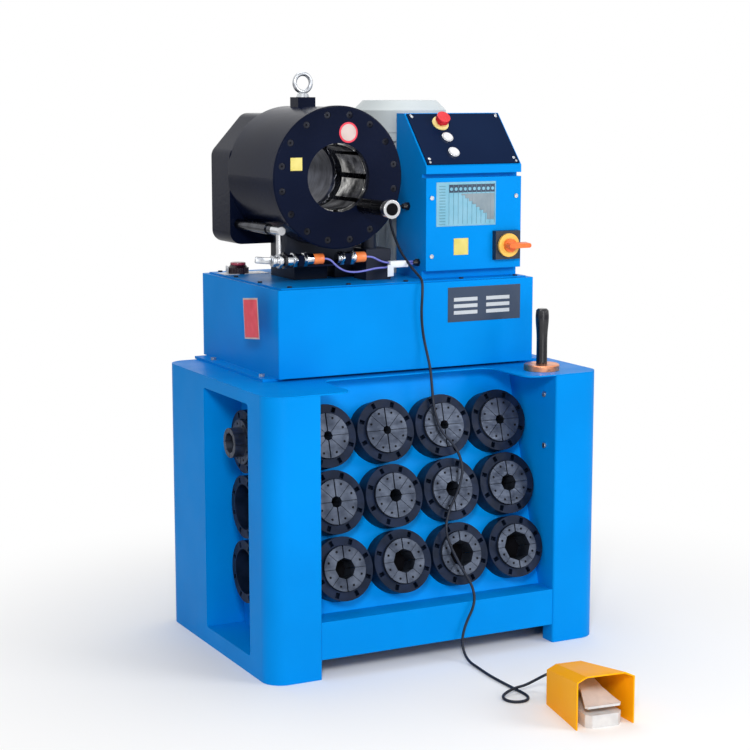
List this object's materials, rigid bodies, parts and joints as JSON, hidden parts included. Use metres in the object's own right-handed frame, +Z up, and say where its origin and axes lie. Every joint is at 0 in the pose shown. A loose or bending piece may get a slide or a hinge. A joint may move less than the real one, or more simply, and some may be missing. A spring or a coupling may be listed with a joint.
{
  "type": "hose crimping machine",
  "caption": "Hydraulic hose crimping machine: black crimping head on an oil tank, control box and motor beside it, on a die rack stand with a foot switch.",
  "frame": {"origin": "centre of the whole footprint, foot switch included, at floor level", "axes": "+X to the operator's right, +Y to the back, +Z up"},
  "size_m": [0.826, 1.146, 1.289],
  "materials": {
    "frame_blue": "satin",
    "panel_navy": "satin",
    "head_black": "gloss",
    "die_steel": "satin",
    "ring_black": "matt",
    "ground_steel": "satin",
    "zinc_steel": "satin",
    "chrome": "polished",
    "valve_grey": "matt",
    "motor_silver": "satin",
    "copper": "satin",
    "grip_black": "gloss",
    "cap_black": "gloss",
    "stop_red": "gloss",
    "stop_yellow": "satin",
    "button_white": "gloss",
    "isolator_black": "satin",
    "isolator_orange": "satin",
    "pedal_yellow": "satin",
    "pedal_grey": "satin",
    "cable_black": "matt",
    "cable_violet": "satin"
  },
  "bodies": {
    "machine": {"adjuster_barrel": "head_black", "back_panel": "frame_blue", "bore_sleeve": "ground_steel", "bottom_rail": "frame_blue", "button_bezels": "chrome", "cable_glands": "grip_black", "control_box": "frame_blue", "control_door": "frame_blue", "control_panel": "panel_navy", "cover_screws": "zinc_steel", "estop_base": "stop_yellow", "eye_bolt": "zinc_steel", "foot_cord": "cable_black", "front_die_sets": "die_steel", "front_plate": "head_black", "front_rings": "ring_black", "head_body": "head_black", "head_screws": "head_black", "isolator_plate": "isolator_black", "left_side_shell": "frame_blue", "motor_cowl": "motor_silver", "motor_housing": "motor_silver", "pedal_base": "pedal_grey", "pedal_hood": "pedal_yellow", "pedal_pin": "ground_steel", "pedestal": "head_black", "pump": "valve_grey", "rack_panel": "frame_blue", "rack_pans": "frame_blue", "right_side_shell": "frame_blue", "sensor_bracket": "head_black", "sensor_leads": "cable_violet", "sensors": "zinc_steel", "side_rings": "ring_black", "stop_bar": "zinc_steel", "tank_body": "frame_blue", "tank_lid": "frame_blue", "top_plate": "frame_blue", "valve_block": "valve_grey"},
    "side_die": {"side_die_set": "die_steel"},
    "filler": {"filler_cap": "cap_black"},
    "rotor": {"motor_rotor": "ground_steel"},
    "piston": {"piston": "ground_steel"},
    "wing": {"wing_lever": "zinc_steel"},
    "thimble": {"adjuster_thimble": "chrome"},
    "estop": {"estop_button": "stop_red"},
    "upper_push": {"upper_button": "button_white"},
    "lower_push": {"lower_button": "button_white"},
    "isolator": {"isolator_handle": "isolator_orange"},
    "lift_tool": {"lift_tool_disc": "copper", "lift_tool_grip": "grip_black"},
    "paddle": {"pedal_paddle": "pedal_grey"},
    "jaw_1": {"shoe_1": "ground_steel"},
    "jaw_2": {"shoe_2": "ground_steel"},
    "jaw_3": {"shoe_3": "ground_steel"},
    "jaw_4": {"shoe_4": "ground_steel"},
    "jaw_5": {"shoe_5": "ground_steel"},
    "jaw_6": {"shoe_6": "ground_steel"},
    "jaw_7": {"shoe_7": "ground_steel"},
    "jaw_8": {"shoe_8": "ground_steel"}
  },
  "joints": [
    {"name": "piston_stroke", "type": "slide", "parent": "machine", "child": "piston", "axis": [0, -1, 0], "range_m": [0, 0.05]},
    {"name": "jaw_1_close", "type": "slide", "parent": "machine", "child": "jaw_1", "axis": [0.9239, 0, -0.3827], "range_m": [0, 0.0125]},
    {"name": "jaw_2_close", "type": "slide", "parent": "machine", "child": "jaw_2", "axis": [0.3827, 0, -0.9239], "range_m": [0, 0.0125]},
    {"name": "jaw_3_close", "type": "slide", "parent": "machine", "child": "jaw_3", "axis": [-0.3827, 0, -0.9239], "range_m": [0, 0.0125]},
    {"name": "jaw_4_close", "type": "slide", "parent": "machine", "child": "jaw_4", "axis": [-0.9239, 0, -0.3827], "range_m": [0, 0.0125]},
    {"name": "jaw_5_close", "type": "slide", "parent": "machine", "child": "jaw_5", "axis": [-0.9239, 0, 0.3827], "range_m": [0, 0.0125]},
    {"name": "jaw_6_close", "type": "slide", "parent": "machine", "child": "jaw_6", "axis": [-0.3827, 0, 0.9239], "range_m": [0, 0.0125]},
    {"name": "jaw_7_close", "type": "slide", "parent": "machine", "child": "jaw_7", "axis": [0.3827, 0, 0.9239], "range_m": [0, 0.0125]},
    {"name": "jaw_8_close", "type": "slide", "parent": "machine", "child": "jaw_8", "axis": [0.9239, 0, 0.3827], "range_m": [0, 0.0125]},
    {"name": "side_die_draw", "type": "slide", "parent": "machine", "child": "side_die", "axis": [-1, 0, 0], "range_m": [0, 0.08]},
    {"name": "filler_turn", "type": "hinge", "parent": "machine", "child": "filler", "pos_m": [-0.246, 0.49798, 0.84], "axis": [0, 0, 1], "range_deg": [0, 360]},
    {"name": "motor_spin", "type": "hinge", "parent": "machine", "child": "rotor", "pos_m": [0.147, 0.43298, 1.1], "axis": [0, 0, 1], "continuous": true},
    {"name": "wing_turn", "type": "hinge", "parent": "machine", "child": "wing", "pos_m": [-0.3, 0.19298, 0.879], "axis": [1, 0, 0], "range_deg": [-90, 90]},
    {"name": "thimble_turn", "type": "hinge", "parent": "machine", "child": "thimble", "pos_m": [-0.091, 0.05298, 0.996], "axis": [0, -1, 0], "range_deg": [-360, 360]},
    {"name": "estop_press", "type": "slide", "parent": "machine", "child": "estop", "axis": [0, 0.7379, -0.6749], "range_m": [0, 0.004]},
    {"name": "upper_press", "type": "slide", "parent": "machine", "child": "upper_push", "axis": [0, 0.7379, -0.6749], "range_m": [0, 0.003], "stiffness_N_per_m": 600, "springref_m": -0.002},
    {"name": "lower_press", "type": "slide", "parent": "machine", "child": "lower_push", "axis": [0, 0.7379, -0.6749], "range_m": [0, 0.003], "stiffness_N_per_m": 600, "springref_m": -0.002},
    {"name": "isolator_turn", "type": "hinge", "parent": "machine", "child": "isolator", "pos_m": [0.283, 0.14298, 0.895], "axis": [0, -1, 0], "range_deg": [0, 90]},
    {"name": "lift_tool_raise", "type": "slide", "parent": "machine", "child": "lift_tool", "axis": [0, 0, 1], "range_m": [0, 0.12]},
    {"name": "paddle_press", "type": "hinge", "parent": "machine", "child": "paddle", "pos_m": [0.09561, -0.44075, 0.066], "axis": [0.9942, -0.108, 0], "range_deg": [0, 5], "stiffness_Nm_per_rad": 6, "springref_deg": -8.59}
  ],
  "couplings": [
    {"joint": "jaw_1_close", "follows": "piston_stroke", "ratio": 0.24933},
    {"joint": "jaw_2_close", "follows": "piston_stroke", "ratio": 0.24933},
    {"joint": "jaw_3_close", "follows": "piston_stroke", "ratio": 0.24933},
    {"joint": "jaw_4_close", "follows": "piston_stroke", "ratio": 0.24933},
    {"joint": "jaw_5_close", "follows": "piston_stroke", "ratio": 0.24933},
    {"joint": "jaw_6_close", "follows": "piston_stroke", "ratio": 0.24933},
    {"joint": "jaw_7_close", "follows": "piston_stroke", "ratio": 0.24933},
    {"joint": "jaw_8_close", "follows": "piston_stroke", "ratio": 0.24933}
  ]
}
